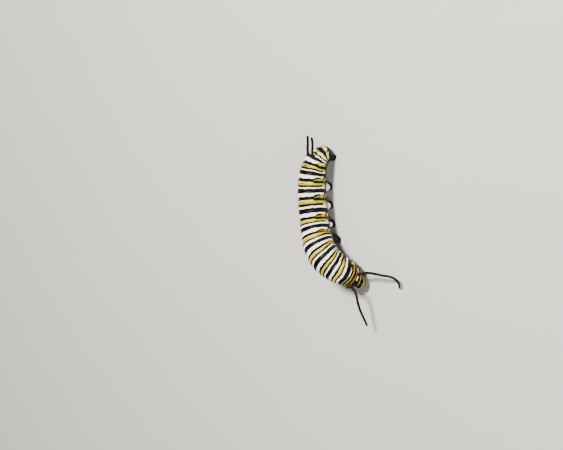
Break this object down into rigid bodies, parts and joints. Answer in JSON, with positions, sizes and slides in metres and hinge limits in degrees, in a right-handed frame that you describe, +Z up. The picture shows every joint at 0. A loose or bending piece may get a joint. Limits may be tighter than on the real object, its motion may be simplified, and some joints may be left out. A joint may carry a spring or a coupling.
{
  "type": "monarch larva",
  "caption": "Life-size still model of a striped monarch butterfly larva standing on its prolegs in a curve, with long front and short rear tentacles.",
  "frame": {"origin": "centre of the whole model's footprint box, on the floor under the feet", "axes": "+X towards the tail end with the head at -X, +Y towards the larva's right side, +Z up from the floor"},
  "size_m": [0.0484, 0.0246, 0.0105],
  "materials": {
    "striped_skin": "soft skin in crosswise black, white and yellow stripes",
    "black_skin": "soft black skin",
    "black_horn": "shiny black shell",
    "head_shell": "shiny shell in yellow and black arches"
  },
  "bodies": {
    "root": {"thorax_1": "striped_skin", "thorax_2": "striped_skin", "thorax_3": "striped_skin", "abdomen_1": "striped_skin", "abdomen_2": "striped_skin", "abdomen_3": "striped_skin", "abdomen_4": "striped_skin", "abdomen_5": "striped_skin", "abdomen_6": "striped_skin", "abdomen_7": "striped_skin", "abdomen_8": "striped_skin", "abdomen_9": "striped_skin", "abdomen_10": "striped_skin", "proleg_a3_left": "black_skin", "proleg_a3_right": "black_skin", "proleg_a4_left": "black_skin", "proleg_a4_right": "black_skin", "proleg_a5_left": "black_skin", "proleg_a5_right": "black_skin", "proleg_a6_left": "black_skin", "proleg_a6_right": "black_skin", "anal_proleg_left": "black_skin", "anal_proleg_right": "black_skin", "leg_t1_left": "black_horn", "leg_t1_right": "black_horn", "leg_t2_left": "black_horn", "leg_t2_right": "black_horn", "leg_t3_left": "black_horn", "leg_t3_right": "black_horn", "front_tentacle_left": "black_skin", "front_tentacle_right": "black_skin", "rear_tentacle_left": "black_skin", "rear_tentacle_right": "black_skin", "head": "head_shell", "labrum": "black_horn", "mandible_left": "black_horn", "mandible_right": "black_horn", "antenna_left": "black_horn", "antenna_right": "black_horn"}
  },
  "joints": []
}
